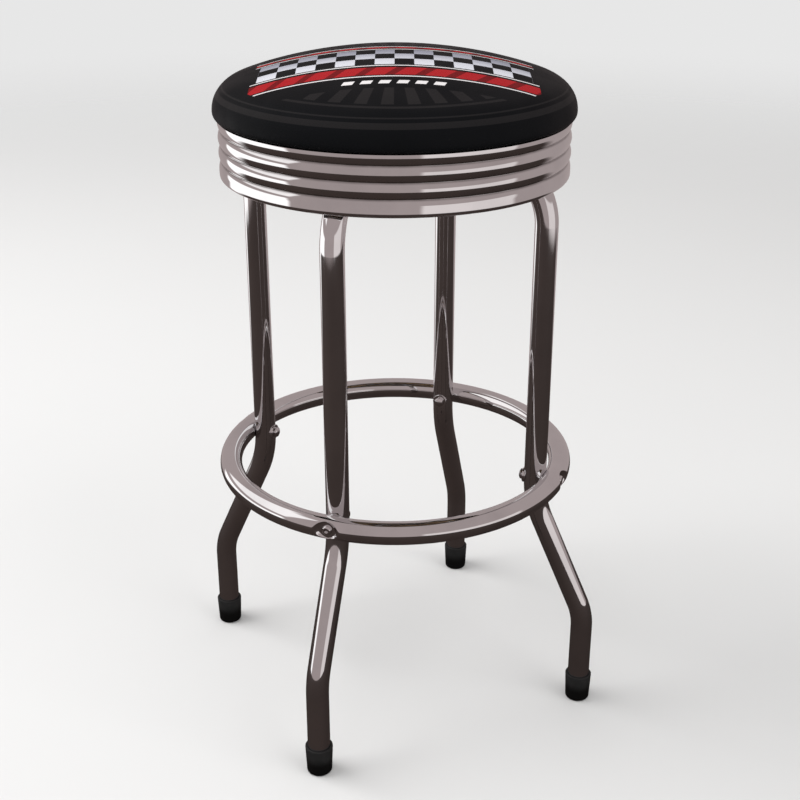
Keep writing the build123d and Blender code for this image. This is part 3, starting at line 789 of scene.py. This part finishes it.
# fasteners and staples: one tree sets a shape out on circles round the axis
def boltCircleTree():
    tree, given = newTree("boltCircle", {
        "Object": ["Shape"], "Int": ["Count", "Rows", "Seed"],
        "Float": ["Circle Radius", "Row Step", "Height", "First Angle", "Lean", "Spin", "Scatter"]})
    index = grow(tree, "InputIndex")
    turn = calc(tree, "DIVIDE", calc(tree, "FLOORED_MODULO", index, given["Count"]), given["Count"])
    angle = calc(tree, "MULTIPLY_ADD", turn, 2 * pi, given["First Angle"])
    row = calc(tree, "FLOOR", calc(tree, "DIVIDE", index, given["Count"]))
    circle = calc(tree, "MULTIPLY_ADD", row, given["Row Step"], given["Circle Radius"])
    reach = plus(tree, circle, strayed(tree, given["Scatter"], given["Seed"]))
    spot = polarSpot(tree, reach, angle, given["Height"])
    count = times(tree, given["Count"], given["Rows"])
    points = grow(tree, "Points", {"Count": count, "Position": spot})
    shape = grow(tree, "ObjectInfo", {"Object": given["Shape"], "As Instance": True}, "Geometry")
    facing = shade(tree, "CombineXYZ", {"Y": given["Lean"], "Z": angle})
    standing = grow(tree, "InstanceOnPoints", {"Points": points, "Instance": shape, "Rotation": facing})
    loose = strayed(tree, given["Spin"], plus(tree, given["Seed"], 7))
    spin = shade(tree, "CombineXYZ", {"Z": loose})
    spun = grow(tree, "RotateInstances", {"Instances": standing, "Rotation": spin, "Local Space": True})
    closeTree(tree, spun, given)
    return tree


boltCircle = boltCircleTree()


def setOut(name, mesh, layout, finish, body, node=None):
    shape = addPiece(name + "_shape", mesh)
    values = {"Shape": shape, "Rows": 1, "Row Step": 0.0, "First Angle": 0.0, "Lean": 0.0, "Spin": 0.0,
              "Scatter": 0.0, "Seed": 3, "Finish": finish}
    piece = growPiece(name, boltCircle, {**values, **layout})
    bpy.data.objects.remove(shape)
    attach(piece, body)
    if node:
        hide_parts(node)
    print(name, len(piece.data.polygons), "faces")


def hexReach(flats, angle):
    return flats / 2 / cos(angle % (pi / 3) - pi / 6)


# button heads with a hexagon socket in the dents of the ring
ringBolt = {"shank": 0.003, "length": 0.0458, "head": 0.0055, "height": 0.0033, "round": 0.0024,
            "socket": 0.004, "depth": 0.002, "edge": 0.0003, "spin": 0.5}


def ringBoltOutline(angle):
    bolt = ringBolt
    top, floor = bolt["height"], bolt["height"] - bolt["depth"]
    line = [(0, -bolt["length"]), (bolt["shank"], -bolt["length"]), (bolt["shank"], 0), (bolt["head"], 0)]
    line += arcPairs((bolt["head"] - bolt["round"], top - bolt["round"]), bolt["round"], 0, 90, 8)
    rim = hexReach(bolt["socket"], angle)
    return line + [(rim + bolt["edge"], top), (rim, top - bolt["edge"]), (rim, floor), (0, floor)]


# dome nuts and saddle washers on the inner side of the legs
domeNut = {"flats": 0.011, "hex": 0.0034, "dome": 0.0018, "chamfer": 0.0005, "footCut": 0.0002,
           "topCut": 0.0001, "spin": 0.5}


def domeNutOutline(angle):
    nut = domeNut
    side, rim = hexReach(nut["flats"], angle), nut["flats"] / 2
    ball = (rim ** 2 + nut["dome"] ** 2) / (2 * nut["dome"])
    line = [(0, 0), (min(side, rim + nut["footCut"]), 0), (side, nut["chamfer"]),
            (side, nut["hex"] - nut["chamfer"]), (min(side, rim + nut["topCut"]), nut["hex"])]
    line += [(rim * share, nut["hex"] + nut["dome"] - ball + sqrt(ball ** 2 - (rim * share) ** 2))
             for share in (0.97, 0.84, 0.68, 0.5, 0.3, 0.12)]
    return line + [(0, nut["hex"] + nut["dome"])]


ringSaddle = {"radius": 0.009, "thin": 0.001, "bore": 0.0034, "edge": 0.0003}
legSaddle = {"radius": 0.0085, "thin": 0.002, "bore": 0.0044, "edge": 0.0004}


def saddleMesh(washer):
    tube = legTube["Tube Radius"] + legTube["play"]

    def outline(angle):
        def saddle(reach):
            return washer["thin"] + tube - sqrt(tube ** 2 - (reach * sin(angle)) ** 2)

        rim, bore, edge = washer["radius"], washer["bore"], washer["edge"]
        return [(bore, saddle(bore)), (bore, 0), (rim - edge, 0), (rim, edge), (rim, saddle(rim) - edge / 2),
                (rim - edge, saddle(rim - edge)), (bore, saddle(bore))]

    return turnedMesh("saddle", outline, 48, 30)


nutSeat = legTube["circle"] - legTube["Tube Radius"] - legTube["play"] - ringSaddle["thin"]
headSeat = legTube["topHeight"] - legTube["Tube Radius"] - legTube["play"] - legSaddle["thin"]
onLegs = {"Count": 4, "First Angle": pi / 4}
onNuts = {**onLegs, "Circle Radius": nutSeat, "Height": ringHeight}
setOut("ring_button_bolts", turnedMesh("buttonBolt", ringBoltOutline, 48, 30),
       {**onLegs, "Circle Radius": ringTube["Dent Floor"], "Height": ringHeight, "Lean": pi / 2,
        "Spin": ringBolt["spin"]}, chrome, "base", "ring_bolts")
setOut("ring_nuts", turnedMesh("domeNut", domeNutOutline, 48, 30),
       {**onNuts, "Lean": -pi / 2, "Spin": domeNut["spin"]}, chrome, "base", "ring_dome_nuts")
setOut("ring_saddles", saddleMesh(ringSaddle), {**onNuts, "Lean": pi / 2},
       chrome, "base", "ring_washers")

# hexagon bolts that hold the legs under the swivel plate
legBolt = {"flats": 0.013, "head": 0.0053, "shank": 0.004, "length": 0.0381, "inner": 0.041, "outer": 0.088,
           "dish": (0.0045, 0.0048), "dishDepth": 0.0002, "chamfer": (0.0003, 0.0008), "spin": 0.5}


def legBoltOutline(angle):
    bolt = legBolt
    side, end = hexReach(bolt["flats"], angle), -bolt["head"]
    dishFloor, dishRim = bolt["dish"]
    cutIn, cutUp = bolt["chamfer"]
    return [(0, end + bolt["dishDepth"]), (dishFloor, end + bolt["dishDepth"]), (dishRim, end),
            (bolt["flats"] / 2 - cutIn, end), (side, end + cutUp), (side, 0), (bolt["shank"], 0),
            (bolt["shank"], bolt["length"]), (0, bolt["length"])]


onPlate = {**onLegs, "Rows": 2, "Circle Radius": legBolt["inner"],
           "Row Step": legBolt["outer"] - legBolt["inner"], "Height": headSeat}
setOut("leg_hex_bolts", turnedMesh("hexBolt", legBoltOutline, 48, 30), {**onPlate, "Spin": legBolt["spin"]},
       zinc, "base", "leg_bolts")
setOut("leg_saddles", saddleMesh(legSaddle), onPlate, zinc, "base", "leg_washers")

# pan head screws up through the flange of the band, with a cross recess
bandScrew = {"count": 8, "circle": 0.17475, "head": 0.0038, "height": 0.0024, "shank": 0.0019,
             "length": 0.010, "point": 0.0008, "recess": 0.0011, "recessFloor": 0.0010, "hub": 0.0005,
             "arms": 0.0013, "crown": [(0.0021, 0.00002), (0.0029, 0.0003), (0.0035, 0.0009)],
             "side": 0.0008, "spin": 0.7}


def bandScrewOutline(angle):
    screw = bandScrew
    end = -screw["height"]
    cross = screw["hub"] + screw["arms"] * abs(cos(2 * angle)) ** 3
    line = [(0, end + screw["recess"]), (cross * 0.6, end + screw["recessFloor"]), (cross, end)]
    line += [(reach, end + drop) for reach, drop in screw["crown"]]
    line += [(screw["head"], -screw["side"]), (screw["head"], 0), (screw["shank"], 0)]
    return line + [(screw["shank"], screw["length"]), (0, screw["length"] + screw["point"])]


setOut("flange_screws", turnedMesh("panScrew", bandScrewOutline, 32, 40),
       {"Count": bandScrew["count"], "Circle Radius": bandScrew["circle"],
        "Height": bandHigh.z - trimBand["sheet"], "Spin": bandScrew["spin"]},
       zinc, "seat", "band_screws")

# staples that hold the margin of the cover to the board
staple = {"Tube Radius": 0.0006, "Sides": 6, "Bend Steps": 3, "Close Ends": True, "crown": 0.0095,
          "leg": 0.0035, "bend": 0.0009, "gap": 0.0006, "Count": 54, "Circle Radius": 0.1555, "Spin": 0.35,
          "Scatter": 0.0018}
half, leg = staple["crown"] / 2, staple["leg"]
stapleLine = [(0, -half, leg), (0, -half, 0), (0, half, 0), (0, half, leg)]
staplePath = pathMesh("stapleWire", stapleLine, [0, staple["bend"], staple["bend"], 0])
wire = growPiece("stapleWire", bentTube, {**staple, "Finish": zinc}, staplePath)
stapleMesh = wire.data
bpy.data.objects.remove(wire)
stapleHeight = cushion["bottom"] - staple["Tube Radius"] - staple["gap"]
setOut("cover_staples", stapleMesh, {**staple, "Height": stapleHeight}, zinc, "seat")

# CAD pieces that stay, in their own finishes
keptNodes = {"swivel_bottom_plate": zinc, "swivel_top_plate": zinc, "weld_nuts": zinc, "bearing_balls": zinc,
             "ball_cage": zinc, "pivot_rivet": zinc, "board_t_nuts": zinc, "plate_screws": zinc,
             "pivot_washer": nylon, "seat_board": plywood}
for node, finish in keptNodes.items():
    for slot in cadNodes[node].material_slots:
        slot.material = finish
print("finishes on the kept CAD nodes")

# stage: a pale floor under soft light; mirrors see a darker floor near by, plain walls and soft panels
stageSetup = {"floorReach": 30.0, "floor": (0.74, 0.735, 0.73, 1), "floorSpecks": (0.66, 0.66, 0.66, 1),
              "floorInChrome": (0.034, 0.0235, 0.0205, 1), "darkTo": (2.05, 2.35), "darkBehind": (0.5, 1.0),
              "fade": (1.8, 5.0), "surround": (0.80, 0.80, 0.80, 1), "ambient": 0.62,
              "walls": (0.41, 0.345, 0.34, 1), "panelEdge": (0.04, 0.03),
              "panels": [(112, 175, -0.60, 0.05, (1.40, 1.36, 1.35, 1)),
                         (112, 175, 0.28, 0.85, (1.15, 1.10, 1.09, 1)),
                         (263, 328, -0.60, 0.15, (0.82, 0.75, 0.74, 1))],
              "lights": [("window", 150, 2.8, 3.4, 3.0, 2.6, 118.0),
                         ("front", 300, 3.0, 3.2, 2.4, 2.4, 38.0),
                         ("overhead", 200, 0.7, 4.0, 3.0, 3.0, 18.0)], "aim": (0, 0, 0.5)}
scene.view_settings.view_transform = "Standard"
floorLine = [(0, 0), (1.0, 0), (5.0, 0), (stageSetup["floorReach"], 0)]
floorMesh = turnedMesh("floor", lambda angle: floorLine, 64)
if floorMesh.polygons[0].normal.z < 0:
    floorMesh.flip_normals()
floor = addPiece("floor", floorMesh)
floorFinish, tree, shader, coords = newFinish("floorFinish")
inChrome = shade(tree, "LightPath", output="Is Glossy Ray")
turnedFloor = shade(tree, "Mapping", {"Vector": coords, "Rotation": (0, 0, radians(printLayout["turn"]))})
behind = parts(tree, turnedFloor)[1]
away = shade(tree, "VectorMath", {0: coords}, "Value", operation="LENGTH")
beyond = spread(tree, away, *stageSetup["darkTo"])
beyond = calc(tree, "MAXIMUM", beyond, spread(tree, behind, *stageSetup["darkBehind"]))
specks = times(tree, noise(tree, coords, 3.0, 4.0), 0.12)
grainy = blendColor(tree, specks, stageSetup["floor"], stageSetup["floorSpecks"])
dress(tree, shader, blendColor(tree, inChrome, grainy, stageSetup["floorInChrome"]))
setSockets(shader, Roughness=0.8, Specular_IOR_Level=0.2)
far = times(tree, inChrome, beyond)
far = calc(tree, "MAXIMUM", far, spread(tree, away, *stageSetup["fade"]))
nothing = shade(tree, "BsdfTransparent")
cleared = shade(tree, "MixShader", {0: far, 1: shader.outputs[0], 2: nothing})
tree.links.new(cleared, tree.nodes["Material Output"].inputs["Surface"])
floorMesh.materials.append(floorFinish)

world = bpy.data.worlds.new("studio")
scene.world = world
world.use_nodes = True
tree = world.node_tree
background = tree.nodes["Background"]
rays = addNode(tree, "ShaderNodeLightPath")
heading = parts(tree, shade(tree, "TexCoord", output="Generated"))
bearing = calc(tree, "FLOORED_MODULO", calc(tree, "ARCTAN2", heading[1], heading[0]), 2 * pi)
sideEdge, topEdge = stageSetup["panelEdge"]
walls = stageSetup["walls"]
for left, right, low, high, glow in stageSetup["panels"]:
    patch = times(tree, between(tree, bearing, radians(left), radians(right), sideEdge),
                  between(tree, heading[2], low, high, topEdge))
    walls = blendColor(tree, patch, walls, glow)
ambient = (stageSetup["ambient"],) * 3 + (1,)
plain = blendColor(tree, rays.outputs["Is Camera Ray"], ambient, stageSetup["surround"])
tree.links.new(blendColor(tree, rays.outputs["Is Glossy Ray"], plain, walls), background.inputs["Color"])

aim = Vector(stageSetup["aim"])
for name, azimuth, distance, height, wide, tall, power in stageSetup["lights"]:
    data = bpy.data.lights.new(name, "AREA")
    data.shape = "RECTANGLE"
    data.size, data.size_y = wide, tall
    data.energy = power
    light = bpy.data.objects.new(name, data)
    light.location = atTurn(distance, height, radians(azimuth))
    light.rotation_euler = (aim - light.location).to_track_quat("-Z", "Y").to_euler()
    light.visible_camera = light.visible_glossy = False
    scene.collection.objects.link(light)
print("stage lit")
